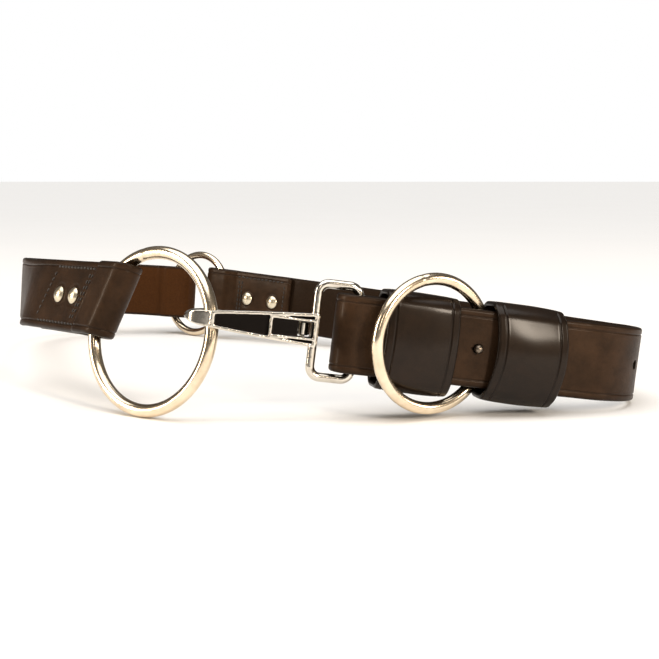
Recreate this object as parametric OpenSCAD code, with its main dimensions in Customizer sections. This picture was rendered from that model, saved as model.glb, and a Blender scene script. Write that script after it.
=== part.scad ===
// Harness martingale: a closed loop of strap leather with three rings and a snap hook.
// Frame: +Z up, origin under the middle of the loop, on the surface that it stands on.

/* [Leather] */
// Width of the straps
strap_w = 38; // [34:0.5:40]
// Thickness of the straps
strap_t = 4; // [3:0.1:4.2]
// Wall of the sliding keepers
keeper_t = 2.6; // [2:0.1:2.8]
// Length of each keeper along the strap
keeper_l = 36; // [28:1:37]

/* [Rings] */
// Outer diameter of the large ring
large_od = 85; // [82:0.5:86]
// Rod of the large ring
large_rod = 6.5; // [6:0.1:6.6]
// Outer diameter of the sliding front ring
front_od = 69; // [68:0.5:70]
// Rod of the front ring
front_rod = 6; // [5:0.1:6.2]
// Outer diameter of the small rear ring
rear_od = 63; // [62.5:0.5:64]
// Rod of the rear ring
rear_rod = 5.2; // [4.8:0.1:5.3]

/* [Hardware] */
// Diameter of the rivet heads
rivet_d = 9; // [8:0.5:10]
// Bar of the snap's strap loop
bar_d = 4.5; // [4:0.1:4.6]
// Width of the adjusting holes
hole_d = 4.8; // [4.4:0.1:5.2]

/* [Hidden] */
$fn = 48;

leather = [0.29, 0.21, 0.155];
thread = [0.16, 0.11, 0.08];
nickel = [0.83, 0.79, 0.7];

// The loop leans, because the rings under it prop it up.
lean_y = 7;
lean_x = -3.9;
shift = [25.05, -140.93, 41.3];

// Centre to centre distance of the two layers, at the front and at the riveted ends.
front_gap = 11 + strap_t;
fold_gap = strap_t + 0.3;

// A plan curve: each step is [length, turn in degrees] from a start point and heading.
function walk(p, h, steps, i = 0, out = []) =
    i == len(steps) ? concat(out, [[p.x, p.y, h]]) :
    let (l = steps[i][0], turn = steps[i][1], half = h + turn / 2,
         chord = turn == 0 ? l : l * sin(abs(turn) / 2) / (abs(turn) / 2 * PI / 180))
    walk([p.x + chord * cos(half), p.y + chord * sin(half)], h + turn, steps, i + 1,
        concat(out, [[p.x, p.y, h]]));
function cut(l, turn, n) = [for (i = [1:n]) [l / n, turn / n]];
function arc(r, turn, n) = cut(r * abs(turn) * PI / 180, turn, n);
function turned(l) = [for (i = [len(l) - 1:-1:0]) [l[i].x, l[i].y, l[i].z + 180]];
function rest(l) = [for (i = [1:len(l) - 1]) l[i]];
function last(l) = l[len(l) - 1];

// A folded end: the strap swells round the ring's rod and its tail comes back beside it,
// on the left (side 1) of a strap that ends at e = [x, y, heading].
function swell(r) = acos(1 - (r - fold_gap / 2) / (2 * r));
function fold(e, r, tail, side, hold = 7) =
    let (out = arc(r, -side * swell(r), 4), back = arc(r, side * swell(r), 4))
    rest(walk([e.x, e.y], e.z, concat(out, back, cut(hold, 0, 2), arc(r, side * 180, 16),
        cut(hold, 0, 2), back, out, cut(tail, 0, 3))));
// How far the middle of a fold's hollow lies beyond the strap's end point.
function reach(r, hold = 7) = 2 * r * sin(swell(r)) + hold / 2;
function hollow_at(e, r, side, hold = 7) = [
    e.x + reach(r, hold) * cos(e.z) - side * fold_gap / 2 * sin(e.z),
    e.y + reach(r, hold) * sin(e.z) + side * fold_gap / 2 * cos(e.z)];

// --- Main strap: tail, nose round the snap's bar, front run, bend, rear run, rear fold. ---
front_h = 10;
front_o = [11, -25];
front_run = 116;
front_tail = 112;
bend_r = 41.7;
rear_r = 6.6;
rear_hold = 10;
main_tail = 46;
function along(u, w) = [front_o.x + u * cos(front_h) - w * sin(front_h),
    front_o.y + u * sin(front_h) + w * cos(front_h)];
main_front = walk(along(front_tail, front_gap / 2), front_h + 180,
    concat(cut(front_tail, 0, 1), arc(front_gap / 2, 180, 16), cut(front_run, 0, 1)));
main_path = concat(main_front, rest(walk([last(main_front).x, last(main_front).y], front_h,
    concat(arc(bend_r, 107.7, 22), arc(583, 30.3, 16), cut(17.2, 0, 1)))));
main_end = last(main_path);
main_line = concat(main_path, fold(main_end, rear_r, main_tail, 1, rear_hold));
main_hollow = hollow_at(main_end, rear_r, 1, rear_hold);

// --- Short strap: from the large ring round the left end to the rear ring. ---
short_h = 130;
short_twist = 12;
short_skew = 0.34;
short_r = 6.4;
short_rear_r = 8.7;
short_hold = 11;
short_hinge = [-114.5, 5.6];
short_tail = 46;
short_dir = [cos(short_h), sin(short_h)];
short_start = [
    short_hinge.x + reach(short_r, short_hold) * short_dir.x - fold_gap / 2 * short_dir.y,
    short_hinge.y + reach(short_r, short_hold) * short_dir.y + fold_gap / 2 * short_dir.x];
short_path = walk(short_start, short_h,
    concat(cut(46.8, 0, 5), arc(79.3, -22, 8), arc(1193.1, -8, 12), arc(65.4, -103, 20), cut(9, 0, 1)));
short_end = last(short_path);
short_hollow = hollow_at(short_end, short_rear_r, 1);
short_line = concat(turned(fold([short_start.x, short_start.y, short_h + 180],
    short_r, short_tail, 1, short_hold)), short_path, fold(short_end, short_rear_r, short_tail, 1));
// It hangs lower towards the left and the rear. The ring twists its front end and pulls it
// askew, which fades out along the strap.
short_roll = -3.6;
short_dip = -0.5;
function pull_at(q) = let (s = min(1, max(0, norm(q - short_hinge) - 61) / 64)) 1 - s * s * (3 - 2 * s);
function section(p, across, up) = let (q = [p.x - across * sin(p.z), p.y + across * cos(p.z)])
    [q.x, q.y, up];
function twisted(v) =
    let (d = [v.x, v.y] - short_hinge, pull = pull_at([v.x, v.y]), a = short_twist * pull,
         l = d * short_dir - short_skew * pull * v.z, side = d * [short_dir.y, -short_dir.x],
         s2 = side * cos(a) + v.z * sin(a))
    [short_hinge.x + l * short_dir.x + s2 * short_dir.y,
     short_hinge.y + l * short_dir.y - s2 * short_dir.x, v.z * cos(a) - side * sin(a)];

// A strap swept along its plan curve.
module band(line, twist = false) {
    n = len(line);
    pts = [for (p = line, c = [[-1, -1], [1, -1], [1, 1], [-1, 1]])
        let (v = section(p, c.x * strap_t / 2, c.y * strap_w / 2)) twist ? twisted(v) : v];
    faces = concat([[0, 1, 2], [0, 2, 3]],
        [for (k = [0:n - 2], i = [0:3]) let (a = 4 * k + i, b = 4 * k + (i + 1) % 4)
            each [[a, b + 4, b], [a, a + 4, b + 4]]],
        [[4 * n - 4, 4 * n - 2, 4 * n - 3], [4 * n - 4, 4 * n - 1, 4 * n - 2]]);
    polyhedron(pts, faces, convexity = 6);
}

// --- Places ---
module placed() { translate(shift) rotate([lean_x, 0, 0]) rotate([0, lean_y, 0]) children(); }
module short_placed() {
    placed() translate([short_hinge.x, short_hinge.y, 0]) rotate([short_dip, 0, 0])
        rotate([0, short_roll, 0]) translate([-short_hinge.x, -short_hinge.y, 0]) children();
}
// Front run: x along it to the right, y to the inside of the loop, z up the strap.
module front_frame() { placed() translate([front_o.x, front_o.y, 0]) rotate([0, 0, front_h]) children(); }
// Riveted ends: x along the strap away from the ring, z up the strap.
module main_end_frame() {
    placed() translate([main_hollow.x, main_hollow.y, 0]) rotate([0, 0, main_end.z + 180]) children();
}
module short_front_frame() {
    short_placed() translate([short_hinge.x, short_hinge.y, 0])
        rotate(a = short_twist, v = [short_dir.x, short_dir.y, 0]) rotate([0, 0, short_h]) children();
}
module short_rear_frame() {
    short_placed() translate([short_hollow.x, short_hollow.y, 0])
        rotate([0, 0, short_end.z + 180]) children();
}

// --- Rings ---
module ring(od, rod) {
    rotate([90, 0, 0]) rotate_extrude($fn = 96) translate([od / 2 - rod / 2, 0]) circle(d = rod, $fn = 32);
}
large_at = [-87.3, -15.4, -11.4];
large_turn = [-4.5, 0, -36.2];
rear_at = [-99.5, 302.2, -1.7];
rear_turn = [-1.5, 0, -39.3];
gap_u = 68;
gap_w = 2;
front_turn = 20;
module large_ring() { color(nickel) placed() translate(large_at) rotate(large_turn) ring(large_od, large_rod); }
module rear_ring() { color(nickel) placed() translate(rear_at) rotate(rear_turn) ring(rear_od, rear_rod); }
module front_ring() {
    color(nickel) front_frame() translate([gap_u, gap_w, 0]) rotate([0, 0, front_turn])
        translate([-(front_od - front_rod) / 2, 0, 0]) ring(front_od, front_rod);
}

// --- Straps ---
rivet_shank = 3.2;
main_rivets_x = [25, 47];
short_rivets_x = [27.5, 43];
stud_u = 61;
stud_shank = 3.4;
hole_s = 153;
hole_walk = last(walk(along(0, -front_gap / 2), front_h,
    concat(cut(front_run, 0, 1), arc(bend_r, (hole_s - front_run) / bend_r * 180 / PI, 4))));
module drill(x, y, d, l = 4 * strap_t) { translate([x, y, 0]) rotate([90, 0, 0]) cylinder(d = d, h = l, center = true); }
module main_strap() {
    color(leather) difference() {
        placed() band(main_line);
        main_end_frame() for (x = main_rivets_x) drill(x, 0, rivet_shank + 0.1);
        front_frame() drill(stud_u, -front_gap / 2, hole_d);
        front_frame() drill(stud_u, front_gap / 2, stud_shank + 0.1);
        placed() translate([hole_walk.x, hole_walk.y, 0]) rotate([0, 0, hole_walk.z]) drill(0, 0, hole_d);
    }
}
module short_strap() {
    color(leather) difference() {
        short_placed() band(short_line, true);
        short_front_frame() for (x = short_rivets_x) drill(x, 0, rivet_shank + 0.1);
    }
}

// --- Rivets: a domed head on one face, a burr on the other, a shank through both layers. ---
stack = fold_gap / 2 + strap_t / 2;
module rivet(x, side) {
    translate([x, side * (stack + 0.03), 0]) rotate([side > 0 ? -90 : 90, 0, 0]) {
        intersection() {
            cylinder(d = rivet_d, h = 3);
            translate([0, 0, 2.2 - 6]) sphere(r = 6);
        }
        translate([0, 0, -2 * stack - 1.5]) cylinder(d = rivet_shank, h = 2 * stack + 2);
    }
}
module burr(x, side) {
    translate([x, -side * (stack + 0.03), 0]) rotate([side > 0 ? 90 : -90, 0, 0]) difference() {
        cylinder(d = rivet_d - 0.5, h = 1);
        translate([0, 0, -1]) cylinder(d = rivet_shank + 0.1, h = 3);
    }
}
module main_rivets() { color(nickel) main_end_frame() for (x = main_rivets_x) rivet(x, -1); }
module main_burrs() { color(nickel) main_end_frame() for (x = main_rivets_x) burr(x, -1); }
module short_rivets() { color(nickel) short_front_frame() for (x = short_rivets_x) rivet(x, 1); }
module short_burrs() { color(nickel) short_front_frame() for (x = short_rivets_x) burr(x, 1); }
// The stud holds the front tail to the main layer, through an adjusting hole.
module adjusting_stud() {
    outer = front_gap / 2 + strap_t / 2;
    color(nickel) front_frame() translate([stud_u, 0, 0]) rotate([90, 0, 0]) {
        translate([0, 0, -outer]) cylinder(d = stud_shank, h = 2 * outer + 1.2);
        translate([0, 0, outer + 1.6]) sphere(d = 4.4);
        translate([0, 0, -outer - 1.2]) cylinder(d = 8, h = 1.2);
    }
}

// --- Stitching: short raised threads along a line on a face. ---
stitch_l = 2.6;
stitch_pitch = 4;
module stitches(a, b, y) {
    l = norm(b - a);
    n = floor(l / stitch_pitch);
    for (i = [0:n]) let (m = a + (b - a) * (i / n))
        translate([m.x, y, m.y]) rotate([0, -atan2(b.y - a.y, b.x - a.x), 0])
            translate([-stitch_l / 2, -0.3, -0.4]) cube([stitch_l, 0.6, 0.8]);
}
// A sewn box: two long rows, its far end and two rows across near the ring.
module sewn_box(x0, x1, y, skew = 0) {
    z = strap_w / 2 - 4;
    for (s = [-1, 1]) stitches([x0 - s * z * skew, s * z], [x1 - s * z * skew, s * z], y);
    for (x = [x0 + 0.5, x0 + 3, x1 + 2.6]) stitches([x + z * skew, -z + 4], [x - z * skew, z - 4], y);
}
module main_stitching() { color(thread) main_end_frame() sewn_box(16.5, 54, -stack - 0.32); }
module short_front_stitching() { color(thread) short_front_frame() sewn_box(17, 54, stack + 0.32, short_skew); }
module short_rear_stitching() { color(thread) short_rear_frame() sewn_box(20, 54, -stack - 0.32); }

// --- Keepers: rounded box loops that slide along the doubled front run. ---
inner_y = front_gap / 2 + strap_t / 2 + 0.5;
inner_z = strap_w / 2 + 2.6;
left_u = 31;
left_skew = 1;
right_u = 84.5;
right_skew = 1.5;
left_drop = 1;
right_drop = 1;
module round_box(y, z, r) {
    square([2 * y, 2 * (z - r)], center = true);
    square([2 * (y - r), 2 * z], center = true);
    for (a = [-1, 1], b = [-1, 1]) translate([a * (y - r), b * (z - r)]) circle(r = r);
}
module keeper() {
    rotate([90, 0, 90]) translate([0, 0, -keeper_l / 2]) linear_extrude(keeper_l) difference() {
        round_box(inner_y + keeper_t, inner_z + keeper_t, 4.6);
        round_box(inner_y, inner_z, 2);
    }
}
module keeper_place(u, drop, skew) {
    front_frame() translate([u, 0, -drop]) rotate([0, skew, 0]) children();
}
module keeper_sewing() {
    y = inner_y + keeper_t + 0.32;
    for (x = [-4, 4]) stitches([x, -inner_z + 4], [x, inner_z - 4], y);
}
module keeper_left() { color(leather) keeper_place(left_u, left_drop, left_skew) keeper(); }
module keeper_right() { color(leather) keeper_place(right_u, right_drop, right_skew) keeper(); }
module keeper_left_stitching() { color(thread) keeper_place(left_u, left_drop, left_skew) keeper_sewing(); }
module keeper_right_stitching() { color(thread) keeper_place(right_u, right_drop, right_skew) keeper_sewing(); }

// --- Snap hook: its own frame starts in the hook's eye, with x towards the strap bar. ---
eye_u = -69;
bar_x = 70.5;
loop_x = 50.3;
loop_z = 22.75;
eye_r = 5.8;
nose = 6.8;
hook_t = 3.8;
pin_x = 44.5;
pin_y = -1;
pin_d = 2.4;
module snap_frame() { front_frame() translate([eye_u, 0, 0]) children(); }
module bar(l) { cylinder(d = bar_d, h = l, center = true); }
module strap_loop() {
    r = 5;
    for (x = [loop_x, bar_x]) translate([x, 0, 0]) bar(2 * (loop_z - r));
    for (s = [-1, 1]) translate([(loop_x + bar_x) / 2, 0, s * loop_z]) rotate([0, 90, 0]) bar(bar_x - loop_x - 2 * r);
    for (c = [[0, 0], [1, 1]], s = [0, 1]) translate([c.x == 0 ? loop_x + r : bar_x - r, 0, (s == 0 ? 1 : -1) * (loop_z - r)])
        mirror([c.x, 0, 0]) mirror([0, 0, s]) rotate([90, 0, 0]) rotate([0, 0, 90])
            rotate_extrude(angle = 90) translate([r, 0]) circle(d = bar_d, $fn = 32);
}
function half_height(x) = 3.9 + 4.2 * pow(x / 50, 0.8);
module spine(inset, y0, y1, x0) {
    xs = [x0, 6, 14, 24, 36, 50 - inset];
    rotate([90, 0, 0]) translate([0, 0, -y1]) linear_extrude(y1 - y0)
        polygon(concat([for (x = xs) [x, half_height(max(0, x)) - inset]],
            [for (i = [len(xs) - 1:-1:0]) [xs[i], inset - half_height(max(0, xs[i]))]]));
}
module hook() {
    h = half_height(0);
    far = eye_r + nose;
    // Seen from the front, the nose is a bullet.
    intersection() {
        rotate([90, 0, 0]) linear_extrude(60, center = true) polygon(concat([[0.4, 0.06 - h], [0.4, h - 0.06]],
            [for (a = [90:9:270]) [-far * pow(max(0, -cos(a)), 0.75), (h - 0.06) * sin(a)]]));
        difference() {
            scale([far / (eye_r + hook_t), 1, 1]) cylinder(r = eye_r + hook_t, h = 4 * h, center = true);
            cylinder(r = eye_r, h = 6 * h, center = true);
        }
    }
    translate([-0.5, eye_r, -h]) cube([7, hook_t - 0.6, 2 * h]);
}
module snap_body() {
    back = -eye_r;
    front = -eye_r - 5;
    color(nickel) snap_frame() difference() {
        union() {
            difference() {
                spine(0, front, back, -1);
                difference() {
                    spine(1.5, front - 1, front + 3, 1);
                    translate([27, front - 2, -5]) cube([21.5, 6, 10]);
                }
                translate([28.4, front - 1, -3.9]) cube([20, 3.4, 7.8]);
            }
            hook();
            strap_loop();
            translate([48.6, front + 0.6, -7.4]) cube([2.2, -front + 0.6, 14.8]);
            for (s = [-1, 1]) translate([pin_x - 4, back - 0.5, s > 0 ? 3.8 : -5.6]) cube([8, 6.6, 1.8]);
        }
        translate([pin_x - 3.4, front - 1, -3.5]) cube([6.8, 8, 7]);
        translate([pin_x, pin_y, -8]) cylinder(d = pin_d, h = 16);
    }
}
module snap_tongue() {
    color(nickel) snap_frame() difference() {
        union() {
            translate([pin_x, pin_y, -3.2]) cylinder(d = 5.6, h = 6.4);
            translate([0, 0, -2.8]) linear_extrude(5.6)
                polygon([[5, eye_r - 0.35], [5, 3], [30, -1.2], [pin_x, -3], [pin_x, 1.4], [30, 1.6]]);
        }
        translate([pin_x, pin_y, -8]) cylinder(d = pin_d + 0.12, h = 16);
    }
}
module snap_pin() { color(nickel) snap_frame() translate([pin_x, pin_y, -5.8]) cylinder(d = pin_d, h = 11.6); }
module snap_spring() {
    color(nickel) snap_frame() translate([28, -eye_r, -2.4]) {
        cube([10, 0.5, 4.8]);
        translate([6, 0.5, 0]) cube([4, 0.5, 4.8]);
    }
}

main_strap();
short_strap();
large_ring();
front_ring();
rear_ring();
snap_body();
snap_tongue();
snap_pin();
snap_spring();
keeper_left();
keeper_right();
adjusting_stud();
main_rivets();
main_burrs();
short_rivets();
short_burrs();
main_stitching();
short_front_stitching();
short_rear_stitching();
keeper_left_stitching();
keeper_right_stitching();
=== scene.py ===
"""Looks of the harness martingale: leather straps and keepers, nickel rings, snap and rivets."""

import math

import bmesh
import bpy
from mathutils import Euler, Matrix, Vector, noise


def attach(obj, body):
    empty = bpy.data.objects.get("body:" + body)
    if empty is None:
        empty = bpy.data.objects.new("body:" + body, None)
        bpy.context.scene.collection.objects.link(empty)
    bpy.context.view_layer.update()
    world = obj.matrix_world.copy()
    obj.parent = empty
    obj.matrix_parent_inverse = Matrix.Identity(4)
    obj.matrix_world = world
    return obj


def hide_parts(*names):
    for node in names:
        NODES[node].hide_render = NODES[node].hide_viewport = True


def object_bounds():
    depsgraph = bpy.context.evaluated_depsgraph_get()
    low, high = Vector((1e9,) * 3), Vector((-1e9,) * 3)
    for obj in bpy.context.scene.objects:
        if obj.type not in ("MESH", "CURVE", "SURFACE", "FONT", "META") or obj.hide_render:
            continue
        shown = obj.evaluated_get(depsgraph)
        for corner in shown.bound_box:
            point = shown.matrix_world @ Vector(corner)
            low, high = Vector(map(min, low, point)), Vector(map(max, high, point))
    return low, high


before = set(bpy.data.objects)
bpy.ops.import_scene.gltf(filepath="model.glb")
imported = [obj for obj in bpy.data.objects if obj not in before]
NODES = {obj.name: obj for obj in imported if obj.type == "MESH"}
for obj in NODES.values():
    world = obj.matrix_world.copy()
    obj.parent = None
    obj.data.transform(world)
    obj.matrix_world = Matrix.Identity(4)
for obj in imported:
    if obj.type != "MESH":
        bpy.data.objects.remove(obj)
cad_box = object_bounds()

MM = 0.001

# --- Sizes repeated from part.scad, in millimetres and degrees. ---
STRAP_W, STRAP_T = 38, 4
KEEPER_T, KEEPER_L = 2.6, 36
FRONT_GAP, FOLD_GAP = 15, 4.3
STACK = FOLD_GAP / 2 + STRAP_T / 2
LEAN_X, LEAN_Y, SHIFT = -3.9, 7, (25.05, -140.93, 41.3)
FRONT_H, FRONT_O, FRONT_RUN, FRONT_TAIL = 10, (11, -25), 116, 112
BEND_R, REAR_R, REAR_HOLD, MAIN_TAIL = 41.7, 6.6, 10, 46
SHORT_H, SHORT_TWIST, SHORT_SKEW = 130, 12, 0.34
SHORT_R, SHORT_REAR_R, SHORT_HOLD, SHORT_TAIL = 6.4, 8.7, 11, 46
SHORT_HINGE, SHORT_ROLL, SHORT_DIP = (-114.5, 5.6), -3.6, -0.5
INNER_Y, INNER_Z = FRONT_GAP / 2 + STRAP_T / 2 + 0.5, STRAP_W / 2 + 2.6
MAIN_RIVETS, SHORT_RIVETS, STUD_U, HOLE_S = (25, 47), (27.5, 43), 61, 153
HOLE_D, STUD_D, SHANK_D = 4.8, 3.5, 3.3
EYE_U, EYE_R = -69, 5.8
LARGE_RING, REAR_RING, FRONT_RING = (85, 6.5), (63, 5.2), (69, 6)      # outside diameter, rod
PULL_FROM, PULL_OVER = 61, 64           # where the short strap's twist starts to fade, and over what length
# Name, place along the front run, drop, tilt in degrees, bow and bulge of its front.
KEEPERS = (("keeper_left", 31, 1, 1, 1.0, 1.4), ("keeper_right", 84.5, 1, 1.5, 2.6, 3.8))

# Longest steps along a strap, and the straight stretch on each side of a fold's nose.
STEP, FINE, NOSE_STEP, HOLD = 1.6, 0.7, 0.8, 7


# --- Plan curves: each step is (length, turn), each station [x, y, heading]. ---
def walk(x, y, h, steps):
    out = [(x, y, h)]
    for length, turn in steps:
        half = math.radians(turn / 2)
        chord = length * (math.sin(half) / half if turn else 1)
        a = math.radians(h) + half
        x, y, h = x + chord * math.cos(a), y + chord * math.sin(a), h + turn
        out.append((x, y, h))
    return out


def cut(length, turn=0.0, step=STEP):
    """A straight or evenly turning run, in short equal steps."""
    n = max(2, math.ceil(length / step))
    return [(length / n, turn / n)] * n


def arc(r, turn):
    """A bend of one radius."""
    length = r * math.radians(abs(turn))
    return cut(length, turn, min(STEP, r * 0.09))


def swell(r):
    """Degrees that each layer turns outwards to get round a nose of radius r."""
    return math.degrees(math.acos(1 - (r - FOLD_GAP / 2) / (2 * r)))


def fold(end, r, tail, side, hold=HOLD, step=STEP):
    """The strap swells round a ring's rod and its tail comes back beside it."""
    out, back = arc(r, -side * swell(r)), arc(r, side * swell(r))
    nose = cut(hold, 0, NOSE_STEP) + arc(r, side * 180) + cut(hold, 0, NOSE_STEP)
    return walk(*end, out + back + nose + back + out + cut(tail, 0, step))[1:]


def reach(r, hold=HOLD):
    """How far past the strap's end the middle of the fold's hollow lies."""
    return 2 * r * math.sin(math.radians(swell(r))) + hold / 2


def hollow_at(end, r, side, hold=HOLD):
    """The middle of the fold's hollow, where the ring's rod passes."""
    c, s = math.cos(math.radians(end[2])), math.sin(math.radians(end[2]))
    far, off = reach(r, hold), side * FOLD_GAP / 2
    return end[0] + far * c - off * s, end[1] + far * s + off * c


def turned(line):
    """The same stations walked the other way."""
    return [(x, y, h + 180) for x, y, h in reversed(line)]


def along(u, w):
    """A plan point u along the front run and w behind it."""
    c, s = math.cos(math.radians(FRONT_H)), math.sin(math.radians(FRONT_H))
    return FRONT_O[0] + u * c - w * s, FRONT_O[1] + u * s + w * c


def main_lines():
    """The main strap's stations, its rear end and the far adjusting hole's station."""
    front = walk(*along(FRONT_TAIL, FRONT_GAP / 2), FRONT_H + 180,
                 cut(FRONT_TAIL) + arc(FRONT_GAP / 2, 180) + cut(FRONT_RUN))
    rear = arc(BEND_R, 107.7) + arc(583, 30.3) + cut(17.2)
    run = front + walk(*front[-1][:2], FRONT_H, rear)[1:]
    turn = math.degrees((HOLE_S - FRONT_RUN) / BEND_R)
    hole = walk(*front[-1][:2], FRONT_H, arc(BEND_R, turn))[-1]
    return run + fold(run[-1], REAR_R, MAIN_TAIL, 1, REAR_HOLD, FINE), run[-1], hole


def short_lines():
    """The short strap's stations and its rear end."""
    c, s = math.cos(math.radians(SHORT_H)), math.sin(math.radians(SHORT_H))
    far = reach(SHORT_R, SHORT_HOLD)
    start = (SHORT_HINGE[0] + far * c - FOLD_GAP / 2 * s, SHORT_HINGE[1] + far * s + FOLD_GAP / 2 * c)
    path = walk(*start, SHORT_H, cut(46.8, 0, FINE) + arc(79.3, -22) + arc(1193.1, -8)
                + arc(65.4, -103) + cut(9))
    front = turned(fold((*start, SHORT_H + 180), SHORT_R, SHORT_TAIL, 1, SHORT_HOLD))
    return front + path + fold(path[-1], SHORT_REAR_R, SHORT_TAIL, 1), path[-1]


def twisted(v):
    """The large ring twists the short strap's front end and pulls it askew."""
    c, s = math.cos(math.radians(SHORT_H)), math.sin(math.radians(SHORT_H))
    dx, dy = v[0] - SHORT_HINGE[0], v[1] - SHORT_HINGE[1]
    k = min(1, max(0, math.hypot(dx, dy) - PULL_FROM) / PULL_OVER)
    pull = 1 - k * k * (3 - 2 * k)
    a = math.radians(SHORT_TWIST * pull)
    length, side = dx * c + dy * s - SHORT_SKEW * pull * v[2], dx * s - dy * c
    out = side * math.cos(a) + v[2] * math.sin(a)
    return (SHORT_HINGE[0] + length * c + out * s, SHORT_HINGE[1] + length * s - out * c,
            v[2] * math.cos(a) - side * math.sin(a))


# --- Frames, as matrices from millimetres in the sub-part to millimetres in the row frame. ---
def rot(x=0, y=0, z=0):
    return Euler([math.radians(a) for a in (x, y, z)]).to_matrix().to_4x4()


def move(x, y, z=0):
    return Matrix.Translation((x, y, z))


MAIN, MAIN_END, HOLE_AT = main_lines()
SHORT, SHORT_END = short_lines()
PLACED = move(*SHIFT) @ rot(x=LEAN_X) @ rot(y=LEAN_Y)
SHORT_PLACED = (PLACED @ move(*SHORT_HINGE) @ rot(x=SHORT_DIP) @ rot(y=SHORT_ROLL)
                @ move(-SHORT_HINGE[0], -SHORT_HINGE[1]))
FRONT = PLACED @ move(*FRONT_O) @ rot(z=FRONT_H)
MAIN_END_FRAME = PLACED @ move(*hollow_at(MAIN_END, REAR_R, 1, REAR_HOLD)) @ rot(z=MAIN_END[2] + 180)
SNAP_INVERSE = (FRONT @ move(EYE_U, 0)).inverted()
TWIST_AXIS = Vector((math.cos(math.radians(SHORT_H)), math.sin(math.radians(SHORT_H)), 0))
SHORT_FRONT = (SHORT_PLACED @ move(*SHORT_HINGE)
               @ Matrix.Rotation(math.radians(SHORT_TWIST), 4, TWIST_AXIS) @ rot(z=SHORT_H))
SHORT_REAR = (SHORT_PLACED @ move(*hollow_at(SHORT_END, SHORT_REAR_R, 1))
              @ rot(z=SHORT_END[2] + 180))


# --- Mesh helpers ---
def make_object(name, mesh, materials):
    """A smooth-shaded object in the scene."""
    obj = bpy.data.objects.new(name, mesh)
    bpy.context.scene.collection.objects.link(obj)
    for material in materials:
        mesh.materials.append(material)
    for polygon in mesh.polygons:
        polygon.use_smooth = True
    return obj


def add_piece(obj, body, slot, *nodes):
    """Rides a piece on its body in place of its CAD nodes."""
    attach(obj, body)
    if nodes:
        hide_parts(*nodes)
    return obj


def grid_faces(n, m, spans):
    """Quads between n rings of m points; spans is n where the last ring joins the first."""
    return [(i * m + j, i * m + (j + 1) % m, (i + 1) % n * m + (j + 1) % m, (i + 1) % n * m + j)
            for i in range(spans) for j in range(m)]


def face_outwards(mesh):
    bm = bmesh.new()
    bm.from_mesh(mesh)
    bmesh.ops.recalc_face_normals(bm, faces=bm.faces)
    bm.to_mesh(mesh)
    bm.free()


def sweep(name, rings, zones, lengths, closed, material):
    """A skin over rings of points in metres; zones gives each ring point its share of
    (cut edge, flesh side, crease), and the UV map is in metres along and round."""
    n, m = len(rings), len(rings[0])
    verts = [v for ring in rings for v in ring]
    spans = n if closed else n - 1
    faces = grid_faces(n, m, spans)
    if not closed:
        faces += [tuple(reversed(range(m))), tuple(range((n - 1) * m, n * m))]
    mesh = bpy.data.meshes.new(name)
    mesh.from_pydata(verts, [], faces)
    colours = mesh.attributes.new("zones", "FLOAT_COLOR", "POINT")
    for i in range(n):
        for j in range(m):
            colours.data[i * m + j].color = (*zones[j], 1)
    around = [0.0]
    for j in range(m):
        around.append(around[-1] + (Vector(rings[0][(j + 1) % m]) - Vector(rings[0][j])).length)
    uv = mesh.uv_layers.new(name="metres")
    for k, face in enumerate(faces[:spans * m]):
        i, j = divmod(k, m)
        corners = ((i, j), (i, j + 1), (i + 1, j + 1), (i + 1, j))
        for loop, (a, b) in zip(mesh.polygons[k].loop_indices, corners):
            uv.data[loop].uv = (lengths[a], around[b])
    face_outwards(mesh)
    return make_object(name, mesh, [material])


def strap_profile(width, thick, grain_side, crease=3.5, depth=0.38):
    """Points (across, up) round a strap's section and their zones. The grain face has a
    creased line inside each edge; the corners are rounded and burnished."""
    half_w, half_t, r = width / 2, thick / 2, thick * 0.36
    # Places across the creased line and how deep each is; a low lip stands at each side.
    grooves = [(-1.0, 0.0), (-0.62, -0.1), (-0.3, 0.65), (0, 1), (0.3, 0.65), (0.62, -0.1), (1.0, 0)]
    top = half_w - r
    flat = [top - 0.6]
    flat += [half_w - crease - g for g, _ in grooves]
    inner = flat[-1] - 0.8
    count = math.ceil(2 * inner / 0.72)             # points 0.72 mm apart between the creases
    flat += [inner - 2 * inner * i / count for i in range(count + 1)]
    flat += [-z for z in reversed(flat[:1 + len(grooves)])]

    def dip(z):
        d = half_w - crease - abs(z)
        near = [w for g, w in grooves if abs(g - d) < 1e-6]
        return near[0] if near else 0

    points, zones = [], []
    for z in flat:                                  # the grain face, from top to bottom
        w = dip(z)
        points.append((grain_side * (half_t - depth * w), z))
        zones.append((0, 0, max(0, w)))
    corner = [(math.sin(math.radians(a)), math.cos(math.radians(a))) for a in (0, 30, 60, 90)]
    for s, c in reversed(corner):                   # bottom corner on the grain side
        points.append((grain_side * (half_t - r + r * s), -top - r * c))
        zones.append((1 - 0.75 * s ** 2, 0, 0))
    points.append((0, -half_w - 0.12))
    zones.append((1, 0, 0))
    for s, c in corner:                             # bottom corner on the flesh side
        points.append((-grain_side * (half_t - r + r * s), -top - r * c))
        zones.append((1 - 0.5 * s, 0.5 * s, 0))
    for z in reversed(flat):
        points.append((-grain_side * half_t, z))
        zones.append((0, 1, 0))
    for s, c in reversed(corner):
        points.append((-grain_side * (half_t - r + r * s), top + r * c))
        zones.append((1 - 0.5 * s, 0.5 * s, 0))
    points.append((0, half_w + 0.12))
    zones.append((1, 0, 0))
    for s, c in corner:
        points.append((grain_side * (half_t - r + r * s), top + r * c))
        zones.append((1 - 0.75 * s ** 2, 0, 0))
    return points, zones


def unevenness(p, amount=0.16, size=24):
    """Slow waves of hand-cut leather, in millimetres."""
    return amount * noise.noise(Vector(p) / size)


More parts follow.
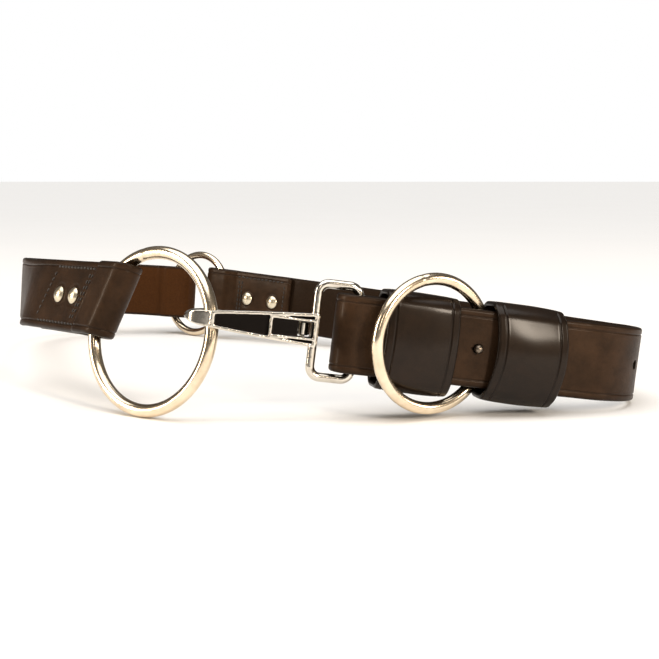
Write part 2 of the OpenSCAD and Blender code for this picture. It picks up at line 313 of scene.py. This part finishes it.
def pressed(v, marks):
    """Rivets dent the leather and their setting tool leaves a ring round each."""
    for centre, normal, radius in marks:
        d = v - centre
        height = d.dot(normal)
        away = (d - height * normal).length
        if abs(height) < 1.3 and away < radius + 4:
            ring = math.exp(-((away - radius - 1.3) / 0.55) ** 2)
            dish = 1 / (1 + math.exp((away - radius - 0.6) * 2.5))
            v = v - normal * (0.42 * ring + 0.22 * dish)
    return v


def strap_rings(line, profile, place, bend=None, marks=()):
    """The section's points at each station, in metres, with rounded ends."""
    ends = ((0, 1.0), (1, 0.35))                    # how far the last two stations draw in
    rings, lengths, total = [], [], 0.0
    for k, (x, y, h) in enumerate(line):
        if k:
            total += math.hypot(x - line[k - 1][0], y - line[k - 1][1])
        inset = next((d for i, d in ends if k == i or k == len(line) - 1 - i), 0)
        s, c = math.sin(math.radians(h)), math.cos(math.radians(h))
        ring = []
        for across, up in profile:
            across -= math.copysign(min(inset, abs(across)), across)
            up -= math.copysign(inset, up)
            wave = unevenness((x, y, up)) + 0.05 * noise.noise(Vector((x, y, up)) / 5)
            side = across + (wave if abs(across) > 1 else 0)
            up += unevenness((x, y, up * 3), 0.12, 15) * (abs(up) > 17)
            v = (x - side * s, y + side * c, up)
            v = pressed(place @ Vector(bend(v) if bend else v), marks)
            ring.append(v * MM)
        rings.append(ring)
        lengths.append(total * MM)
    return rings, lengths


def bore(obj, drills):
    """Cuts round holes through a piece: each drill is (centre, axis, diameter, depth) in mm."""
    for centre, axis, diameter, depth in drills:
        bm = bmesh.new()
        bmesh.ops.create_cone(bm, cap_ends=True, segments=40, radius1=diameter / 2 * MM,
                              radius2=diameter / 2 * MM, depth=depth * MM)
        turn = axis.to_track_quat("Z", "Y").to_matrix().to_4x4()
        bm.transform(Matrix.Translation(centre * MM) @ turn)
        mesh = bpy.data.meshes.new("drill")
        bm.to_mesh(mesh)
        bm.free()
        cutter = bpy.data.objects.new("drill", mesh)
        bpy.context.scene.collection.objects.link(cutter)
        cutting = obj.modifiers.new("bore", "BOOLEAN")
        cutting.operation, cutting.solver, cutting.object = "DIFFERENCE", "EXACT", cutter
        apply_modifiers(obj)
        bpy.data.objects.remove(cutter)


def apply_modifiers(obj):
    bpy.context.view_layer.update()
    done = bpy.data.meshes.new_from_object(obj.evaluated_get(bpy.context.evaluated_depsgraph_get()))
    obj.modifiers.clear()
    obj.data = done


def axis_of(place, x, y, z=0):
    """A drill's centre and direction along a frame's y."""
    return place @ Vector((x, y, z)), (place.to_3x3() @ Vector((0, 1, 0))).normalized()


# --- Node materials ---
class Shader:
    """A node material with one Principled shader."""

    def __init__(self, name, **constants):
        self.material = bpy.data.materials.new(name)
        self.material.use_nodes = True
        self.nodes, self.links = self.material.node_tree.nodes, self.material.node_tree.links
        self.shader = self.nodes["Principled BSDF"]
        for key, value in constants.items():
            self.shader.inputs[key.replace("_", " ")].default_value = value

    def node(self, kind, values=(), **settings):
        """Adds a node; values are (input, number or socket) pairs."""
        node = self.nodes.new("ShaderNode" + kind)
        for key, value in settings.items():
            setattr(node, key, value)
        for key, value in values:
            if isinstance(value, bpy.types.NodeSocket):
                self.links.new(value, node.inputs[key])
            else:
                node.inputs[key].default_value = value
        return node

    def noise(self, vector, scale, detail=3, rough=0.5):
        return self.node("TexNoise", (("Vector", vector), ("Scale", scale), ("Detail", detail),
                                      ("Roughness", rough))).outputs["Fac"]

    def ramp(self, value, *stops):
        """A grey ramp between two (place, grey) stops."""
        node = self.node("ValToRGB", (("Fac", value),))
        for element, (place, grey) in zip(node.color_ramp.elements, stops):
            element.position, element.color = place, (grey, grey, grey, 1)
        return node.outputs["Color"]

    def mix(self, factor, a, b):
        """Mixes two colours; each may be a constant or a socket, and so may the factor."""
        node = self.node("Mix", data_type="RGBA")
        for socket, value in ((0, factor), (6, a), (7, b)):
            if isinstance(value, bpy.types.NodeSocket):
                self.links.new(value, node.inputs[socket])
            elif socket:
                node.inputs[socket].default_value = (*value, 1)
            else:
                node.inputs[socket].default_value = value
        return node.outputs[2]

    def maths(self, operation, a, b=0.0):
        return self.node("Math", ((0, a), (1, b)), operation=operation).outputs[0]

    def bump(self, height, strength, distance, normal=None):
        values = [("Height", height), ("Strength", strength), ("Distance", distance)]
        if normal:
            values.append(("Normal", normal))
        return self.node("Bump", values).outputs["Normal"]

    def drive(self, **sockets):
        for key, socket in sockets.items():
            self.links.new(socket, self.shader.inputs[key.replace("_", " ")])
        return self.material


def leather_material(name, dark, light, flesh, edge, gloss):
    """Waxed strap leather: fine pores and wrinkles, mottled dye, light scratches along its length, a
    fibrous flesh side and a burnished dark edge."""
    m = Shader(name, Coat_Weight=gloss, Coat_Roughness=0.19, Specular_IOR_Level=0.1,
               Specular_Tint=(1, 0.8, 0.62, 1), Coat_Tint=(1, 0.9, 0.8, 1))
    place = m.node("TexCoord").outputs["Object"]
    uv = m.node("UVMap", uv_map="metres").outputs["UV"]
    zones = m.node("SeparateColor", (("Color", m.node("Attribute", attribute_name="zones")
                                      .outputs["Color"]),)).outputs
    mottle = m.noise(place, 55, 5, 0.62)
    cloud = m.noise(place, 300, 4, 0.6)
    dye = m.mix(m.ramp(mottle, (0.32, 0.0), (0.7, 1.0)), dark, light)
    dye = m.mix(m.maths("MULTIPLY", m.ramp(cloud, (0.5, 0.0), (0.75, 1.0)), 0.35), dye, edge)
    stretched = m.node("Mapping", (("Vector", uv), ("Scale", (60, 1500, 1)))).outputs["Vector"]
    streaks = m.noise(stretched, 1, 3, 0.6)
    scratches = m.ramp(streaks, (0.66, 0.0), (0.74, 1.0))
    dye = m.mix(m.maths("MULTIPLY", scratches, 0.16), dye, tuple(min(1, 2.1 * c) for c in light))
    fibres = m.noise(place, 900, 6, 0.7)
    under = m.mix(m.ramp(fibres, (0.3, 0.0), (0.72, 1.0)), tuple(c * 0.62 for c in flesh), flesh)
    colour = m.mix(zones["Green"], dye, under)
    # painted shade: the creased lines are darkened towards the edge colour
    colour = m.mix(m.maths("MULTIPLY", zones["Blue"], 0.4), colour, edge)
    colour = m.mix(zones["Red"], colour, edge)
    pores = m.node("TexVoronoi", (("Vector", place), ("Scale", 1500), ("Randomness", 1)),
                   feature="DISTANCE_TO_EDGE").outputs["Distance"]
    grain = m.maths("ADD", m.maths("MULTIPLY", m.ramp(pores, (0.0, 0.0), (0.28, 1.0)), 0.5),
                    m.noise(place, 2600, 4, 0.6))
    smooth = m.maths("SUBTRACT", 1.0, m.maths("MAXIMUM", zones["Green"], zones["Red"]))
    relief = m.maths("MULTIPLY", grain, smooth)
    nap = m.maths("MULTIPLY", fibres, m.maths("MULTIPLY", zones["Green"], 2.6))
    relief = m.maths("ADD", relief, nap)
    normal = m.bump(relief, 0.32, 0.00012)
    wrinkles = m.noise(stretched, 0.5, 4, 0.65)
    normal = m.bump(m.maths("ADD", wrinkles, m.maths("MULTIPLY", mottle, 2.0)), 0.22, 0.0003, normal)
    rough = m.maths("ADD", 0.36, m.maths("MULTIPLY", cloud, 0.2))
    rough = m.maths("ADD", rough, m.maths("MULTIPLY", zones["Green"], 0.34))
    rough = m.maths("SUBTRACT", rough, m.maths("MULTIPLY", zones["Red"], 0.08))
    rough = m.maths("ADD", rough, m.maths("MULTIPLY", scratches, 0.1))
    return m.drive(Base_Color=colour, Roughness=rough, Normal=normal)


def nickel_material(name, clean, dull, roughness=0.13, brushed=0.5, hollow=False):
    """Polished nickel plate with faint polishing lines, soft waves and a warm dull bloom."""
    m = Shader(name, Metallic=1.0)
    place = m.node("TexCoord").outputs["Object"]
    bloom = m.noise(place, 90, 5, 0.65)
    fine = m.noise(place, 1400, 4, 0.7)
    colour = m.mix(m.ramp(bloom, (0.38, 0.0), (0.72, 1.0)), clean, dull)
    specks = m.ramp(m.noise(place, 2200, 2, 0.5), (0.7, 0.0), (0.76, 1.0))
    colour = m.mix(m.maths("MULTIPLY", specks, 0.3), colour, tuple(c * 0.45 for c in dull))
    lines = m.node("Mapping", (("Vector", place), ("Rotation", (0.5, 0.8, 0.3)),
                               ("Scale", (4200, 240, 240)))).outputs["Vector"]
    # 1 in the snap's hollow and slot, which are painted near-black as shade and dark reflection, 0 on its
    # polished rims.
    polish = m.noise(lines, 1, 3, 0.6)
    rough = m.maths("ADD", roughness, m.maths("MULTIPLY", bloom, 0.12))
    rough = m.maths("ADD", rough, m.maths("MULTIPLY", specks, 0.12))
    normal = m.bump(m.maths("ADD", m.maths("MULTIPLY", polish, 0.5), fine), brushed * 0.12, 0.00006)
    normal = m.bump(m.noise(place, 110, 2, 0.5), 0.12, 0.0008, normal)
    if hollow:                                      # painted shade and dark reflection: the hollow is coloured near-black
        painted_shade = m.node("Attribute", attribute_name="hollow").outputs["Fac"]
        colour = m.mix(painted_shade, colour, (0.012, 0.010, 0.009))
        rough = m.maths("ADD", rough, m.maths("MULTIPLY", painted_shade, 0.16))
    return m.drive(Base_Color=colour, Roughness=rough, Normal=normal)


def thread_material(name, dark, light):
    """Waxed, twisted linen thread."""
    m = Shader(name, Specular_IOR_Level=0.35, Sheen_Weight=0.25, Sheen_Roughness=0.4)
    place = m.node("TexCoord").outputs["Object"]
    twist = m.node("TexWave", (("Vector", place), ("Scale", 900), ("Distortion", 1.5)),
                   bands_direction="DIAGONAL").outputs["Fac"]
    colour = m.mix(m.noise(place, 700, 3), dark, light)
    rough = m.maths("ADD", 0.5, m.maths("MULTIPLY", twist, 0.2))
    return m.drive(Base_Color=colour, Roughness=rough, Normal=m.bump(twist, 0.5, 0.0001))


LEATHER = leather_material("strap_leather", (0.0150, 0.0072, 0.0032), (0.037, 0.0185, 0.0090),
                           (0.062, 0.0225, 0.0062), (0.006, 0.0034, 0.002), 0.06)
MAIN_LEATHER = leather_material("main_leather", (0.0150, 0.0072, 0.0032), (0.037, 0.0185, 0.0090),
                                (0.018, 0.0095, 0.0048), (0.006, 0.0034, 0.002), 0.06)
# painted shade: the keepers get a darker copy of the strap leather, for the shade on their front faces
SHADED_KEEPER_LEATHER = leather_material("keeper_leather", (0.0040, 0.0019, 0.0009), (0.0110, 0.0056, 0.0028),
                                  (0.034, 0.0145, 0.0055), (0.003, 0.0018, 0.0011), 0.28)
NICKEL = nickel_material("ring_nickel", (0.82, 0.70, 0.53), (0.66, 0.53, 0.37))
SNAP_NICKEL = nickel_material("snap_nickel", (0.70, 0.66, 0.59), (0.50, 0.45, 0.38), 0.1, 0.3, True)
RIVET_NICKEL = nickel_material("rivet_nickel", (0.74, 0.66, 0.50), (0.55, 0.47, 0.34), 0.24, 0.8)
# painted shade: the stud is a dark copy of the nickel, standing for the shadow in its hole
SHADED_STUD_NICKEL = nickel_material("stud_nickel_painted_shade", (0.20, 0.165, 0.13), (0.12, 0.095, 0.07), 0.3, 0.8)
THREAD = thread_material("strap_thread", (0.006, 0.004, 0.003), (0.022, 0.014, 0.009))


# --- Straps ---
def head_marks(place, xs, side, radius=4.5):
    """Where rivet heads press on one side of a fold: centre, outward direction and radius."""
    out = (place.to_3x3() @ Vector((0, side, 0))).normalized()
    return [(place @ Vector((x, side * STACK, 0)), out, radius) for x in xs]


def build_main_strap():
    points, zones = strap_profile(STRAP_W, STRAP_T, -1)
    marks = head_marks(MAIN_END_FRAME, MAIN_RIVETS, -1) + head_marks(MAIN_END_FRAME, MAIN_RIVETS, 1, 4.2)
    rings, lengths = strap_rings(MAIN, points, PLACED, marks=marks)
    obj = sweep("main_strap_leather", rings, zones, lengths, False, MAIN_LEATHER)
    hole = PLACED @ move(*HOLE_AT[:2]) @ rot(z=HOLE_AT[2])
    drills = [(*axis_of(MAIN_END_FRAME, x, 0), SHANK_D, 16) for x in MAIN_RIVETS]
    drills += [(*axis_of(FRONT, STUD_U, -FRONT_GAP / 2), HOLE_D, 8),
               (*axis_of(FRONT, STUD_U, FRONT_GAP / 2), STUD_D, 8), (*axis_of(hole, 0, 0), HOLE_D, 12)]
    bore(obj, drills)
    return add_piece(obj, "straps", "leather", "main_strap")


def build_short_strap():
    points, zones = strap_profile(STRAP_W, STRAP_T, 1)
    marks = head_marks(SHORT_FRONT, SHORT_RIVETS, 1) + head_marks(SHORT_FRONT, SHORT_RIVETS, -1, 4.2)
    rings, lengths = strap_rings(SHORT, points, SHORT_PLACED, twisted, marks)
    obj = sweep("short_strap_leather", rings, zones, lengths, False, LEATHER)
    bore(obj, [(*axis_of(SHORT_FRONT, x, 0), SHANK_D, 16) for x in SHORT_RIVETS])
    return add_piece(obj, "straps", "leather", "short_strap")


# --- Keepers ---
def keeper_loop(r=6.2):
    """A rounded box round the doubled strap: (y, z, outward y, outward z), middle of the wall."""
    y, z = INNER_Y + KEEPER_T / 2, INNER_Z + KEEPER_T / 2
    loop = []
    for sy, sz, start in ((-1, 1, 90), (-1, -1, 180), (1, -1, 270), (1, 1, 0)):
        for i in range(13):
            a = math.radians(start + 7.5 * i)
            loop.append((sy * (y - r) + r * math.cos(a), sz * (z - r) + r * math.sin(a),
                         math.cos(a), math.sin(a)))
    dense = []
    for k, here in enumerate(loop):
        there = loop[(k + 1) % len(loop)]
        n = max(1, round(math.hypot(there[0] - here[0], there[1] - here[1]) / 1.2))
        dense += [tuple(a + (b - a) * i / n for a, b in zip(here, there)) for i in range(n)]
    return dense


def keeper_frame(u, drop, skew):
    return FRONT @ move(u, 0, -drop) @ rot(y=skew)


def build_keeper(name, u, drop, skew, bow, bulge):
    """A band of leather bent round the straps, crowned and bowed, creased near each end."""
    place = keeper_frame(u, drop, skew)
    points, zones = strap_profile(KEEPER_L, KEEPER_T, 1, 4.2, 0.42)
    rings, lengths, total, last = [], [], 0.0, None
    for y, z, ny, nz in keeper_loop():
        total += math.hypot(y - last[0], z - last[1]) if last else 0
        last = (y, z)
        ring = []
        for out, x in points:
            t = x / (KEEPER_L / 2)
            crown = 0.55 * (1 - t * t) - 0.25 * abs(t) ** 8
            swell_out = (bulge if ny < 0 else 1) * max(0, 1 - (z / INNER_Z) ** 2) * abs(ny)
            push = out + crown * (out > 0) + swell_out + unevenness((u + x, y, z), 0.22, 16)
            bowed = bow * max(0, 1 - (z / INNER_Z) ** 2) * (ny < 0) * ny * ny
            ring.append(place @ Vector((x + bowed, y + ny * push, z + nz * push)) * MM)
        rings.append(ring)
        lengths.append(total * MM)
    lengths.append(total * MM + 0.001)
    obj = sweep(name + "_leather", rings, zones, lengths, True, SHADED_KEEPER_LEATHER)
    return add_piece(obj, name, "keeper_leather", name)


# --- Stitching ---
def stitch_row(a, b, pitch=3.3):
    """Stitch middles and their direction along a row from a to b."""
    length = math.dist(a, b)
    n = max(1, round(length / pitch))
    c, s = (b[0] - a[0]) / length, (b[1] - a[1]) / length
    return [(a[0] + c * length * i / n, a[1] + s * length * i / n, c, s) for i in range(n + 1)]


def sewn_box(x0, x1, skew=0.0):
    """Two rows along the edges and three slanted rows across, as on a sewn fold."""
    z, rows = STRAP_W / 2 - 4, []
    for s in (-1, 1):
        rows += stitch_row((x0 - s * z * skew, s * z), (x1 - s * z * skew, s * z))
    for x in (x0 + 0.5, x0 + 3, x1 + 2.6):
        rows += stitch_row((x + z * skew, 4 - z), (x - z * skew, z - 4))
    return rows


def build_stitches(name, place, rows, y, body, length=2.5, radius=0.5):
    """Each stitch is a thread that rises out of the leather and dips back, a little slanted."""
    verts, faces, sides, steps = [], [], 8, 9
    up = math.copysign(1, y)
    for x, z, c, s in rows:
        slant = 0.16
        dx, dz = c - s * slant, s + c * slant
        base = len(verts)
        for i in range(steps):
            t = 2 * i / (steps - 1) - 1
            height = y + up * (0.12 - 0.62 * t ** 4)
            thick = radius * (1 - 0.35 * t ** 6)
            for k in range(sides):
                a = 2 * math.pi * k / sides
                off = thick * math.cos(a)
                verts.append(place @ Vector((x + dx * t * length / 2 - dz * off, height
                                             + up * thick * math.sin(a) * 0.8,
                                             z + dz * t * length / 2 + dx * off)) * MM)
        for i in range(steps - 1):
            for k in range(sides):
                n = (k + 1) % sides
                faces.append((base + i * sides + k, base + i * sides + n,
                              base + (i + 1) * sides + n, base + (i + 1) * sides + k))
        faces += [tuple(base + k for k in reversed(range(sides))),
                  tuple(base + (steps - 1) * sides + k for k in range(sides))]
    mesh = bpy.data.meshes.new(name)
    mesh.from_pydata(verts, [], faces)
    face_outwards(mesh)
    return add_piece(make_object(name + "_thread", mesh, [THREAD]), body, "thread", name)


def build_all_stitching():
    build_stitches("main_stitching", MAIN_END_FRAME, sewn_box(16.5, 54), -STACK, "straps")
    build_stitches("short_front_stitching", SHORT_FRONT, sewn_box(17, 54, SHORT_SKEW), STACK, "straps")
    build_stitches("short_rear_stitching", SHORT_REAR, sewn_box(20, 54), -STACK, "straps")
    end = INNER_Z - 4
    rows = stitch_row((-4, -end), (-4, end)) + stitch_row((4, -end), (4, end))
    for name, u, drop, skew, *_ in KEEPERS:
        place = keeper_frame(u, drop, skew)
        build_stitches(name + "_stitching", place, rows, INNER_Y + KEEPER_T + 0.75, name)


# --- Hardware ---
def build_ring(node, place, od, rod):
    """A welded round ring, a little thinner where it has been ground smooth."""
    major, minor, n, m = (od - rod) / 2, rod / 2, 288, 48
    verts = []
    for i in range(n):
        a = 2 * math.pi * i / n
        weld = math.exp(-(math.remainder(a - 1.9, 2 * math.pi) / 0.035) ** 2)
        for k in range(m):
            b = 2 * math.pi * k / m
            r = minor * (1 - 0.035 * weld) + 0.012 * noise.noise(Vector((a * 4, b, od)))
            verts.append(place @ Vector(((major + r * math.cos(b)) * math.cos(a), r * math.sin(b),
                                         (major + r * math.cos(b)) * math.sin(a))) * MM)
    mesh = bpy.data.meshes.new(node)
    mesh.from_pydata(verts, [], grid_faces(n, m, n))
    face_outwards(mesh)
    return add_piece(make_object(node + "_metal", mesh, [NICKEL]), node, "nickel", node)


def build_rings():
    large = PLACED @ move(-87.3, -15.4, -11.4) @ rot(-4.5, 0, -36.2)
    rear = PLACED @ move(-99.5, 302.2, -1.7) @ rot(-1.5, 0, -39.3)
    front = FRONT @ move(68, 2) @ rot(z=20) @ move(-31.5, 0)
    build_ring("large_ring", large, *LARGE_RING)
    build_ring("rear_ring", rear, *REAR_RING)
    build_ring("front_ring", front, *FRONT_RING)


def snap_hollow_shade(v):
    """1 in the snap's blackened hollow and slot, 0 on its polished rims."""
    x, y, z = SNAP_INVERSE @ (v / MM)
    half = 3.9 + 4.2 * (max(x, 0) / 50) ** 0.8 - 1.2
    deep = -EYE_R - 4.55
    if not (1.2 < x < 49 and abs(z) < half and deep - 0.2 < y < -2):
        return 0.0
    return min(1.0, max(0.0, (y - deep) / 0.5))


def build_cast(node, body, material, voxel, rounds=6, dark=None):
    """A cast and tumbled copy of a CAD node, with its edges softened."""
    mesh = NODES[node].data.copy()
    mesh.materials.clear()
    obj = make_object(node + "_metal", mesh, [material])
    remesh = obj.modifiers.new("remesh", "REMESH")
    remesh.mode, remesh.voxel_size = "VOXEL", voxel * MM
    smooth = obj.modifiers.new("smooth", "SMOOTH")
    smooth.factor, smooth.iterations = 0.5, rounds
    apply_modifiers(obj)
    obj.data.materials.clear()
    obj.data.materials.append(material)
    for polygon in obj.data.polygons:
        polygon.use_smooth = True
        polygon.material_index = 0
    # the dark mask marks where shade and dark reflection are painted black in the hollow
    if dark:
        shade = obj.data.attributes.new("hollow", "FLOAT", "POINT")
        shade.data.foreach_set("value", [dark(v.co) for v in obj.data.vertices])
    return add_piece(obj, body, "nickel", node)


def build_hardware():
    build_cast("snap_body", "snap", SNAP_NICKEL, 0.3, 6, snap_hollow_shade)
    build_cast("snap_tongue", "tongue", SNAP_NICKEL, 0.22, 4)
    build_cast("snap_pin", "snap", SNAP_NICKEL, 0.14, 4)
    build_cast("snap_spring", "snap", SNAP_NICKEL, 0.12, 2)
    for node in ("main_rivets", "main_burrs", "short_rivets", "short_burrs"):
        build_cast(node, "straps", RIVET_NICKEL, 0.16, 4)
    build_cast("adjusting_stud", "straps", SHADED_STUD_NICKEL, 0.16, 4)


# --- Stage: floor, light and camera ---
def build_floor():
    mesh = bpy.data.meshes.new("floor")
    z = cad_box[0][2] - 0.0002
    far = 60
    corners = [(-far, -far, z), (far, -far, z), (far, far, z), (-far, far, z)]
    mesh.from_pydata(corners, [], [(0, 1, 2, 3)])
    floor = Shader("pale_floor", Roughness=0.7, Specular_IOR_Level=0.2)
    grain = floor.noise(floor.node("TexCoord").outputs["Object"], 3, 3)
    material = floor.drive(Base_Color=floor.mix(grain, (0.93, 0.93, 0.925), (0.96, 0.96, 0.96)))
    make_object("floor", mesh, [material])


def add_area(name, place, target, size, power):
    """A warm soft box at a place, turned to a target."""
    light = bpy.data.lights.new(name, "AREA")
    light.shape, light.size, light.size_y = "RECTANGLE", *size
    light.energy, light.color = power, (1, 0.87, 0.72)
    obj = bpy.data.objects.new(name, light)
    obj.location = place
    obj.rotation_euler = (Vector(target) - Vector(place)).to_track_quat("-Z", "Y").to_euler()
    bpy.context.scene.collection.objects.link(obj)


def build_light():
    """A dim warm room, white only to the camera, with soft boxes for the long highlights."""
    world = bpy.data.worlds.new("studio")
    bpy.context.scene.world = world
    world.use_nodes = True
    nodes, links = world.node_tree.nodes, world.node_tree.links
    nodes["Background"].inputs["Color"].default_value = (1.0, 0.93, 0.86, 1)
    nodes["Background"].inputs["Strength"].default_value = 0.13
    white = nodes.new("ShaderNodeBackground")
    white.inputs["Color"].default_value = (1, 1, 1, 1)
    seen, mix = nodes.new("ShaderNodeLightPath"), nodes.new("ShaderNodeMixShader")
    links.new(seen.outputs["Is Camera Ray"], mix.inputs["Fac"])
    links.new(nodes["Background"].outputs[0], mix.inputs[1])
    links.new(white.outputs[0], mix.inputs[2])
    links.new(mix.outputs[0], nodes["World Output"].inputs["Surface"])
    sun = bpy.data.lights.new("sky", "SUN")
    sun.energy, sun.angle, sun.color = 2.75, math.radians(70), (1, 0.985, 0.965)
    sky = bpy.data.objects.new("sky", sun)
    sky.rotation_euler = (math.radians(6), math.radians(-6), 0)
    bpy.context.scene.collection.objects.link(sky)
    add_area("left", (-1.45, -0.50, 0.50), (-0.1, -0.1, 0.04), (0.2, 0.8), 15)
    add_area("front", (-0.25, -1.9, 0.75), (0.03, -0.16, 0.04), (0.10, 0.6), 1.8)
    add_area("front_right", (0.90, -1.35, 0.62), (0.11, -0.14, 0.04), (0.24, 0.45), 16)
    add_area("right", (1.60, -0.55, 0.55), (0.16, -0.1, 0.04), (0.5, 0.6), 8)


def build_camera():
    """The photo's view: from the front, a little above the straps and looking slightly down."""
    bpy.context.scene.view_settings.view_transform = "Standard"
    camera = bpy.data.cameras.new("camera")
    camera.lens, camera.sensor_width = 67.5, 36
    obj = bpy.data.objects.new("camera", camera)
    obj.location = (0.02505, -0.76093, 0.116)
    obj.rotation_euler = (math.radians(83.07), 0, 0)
    bpy.context.scene.collection.objects.link(obj)
    bpy.context.scene.camera = obj


build_main_strap()
build_short_strap()
for keeper in KEEPERS:
    build_keeper(*keeper)
build_all_stitching()
build_rings()
build_hardware()
build_floor()
build_light()
build_camera()
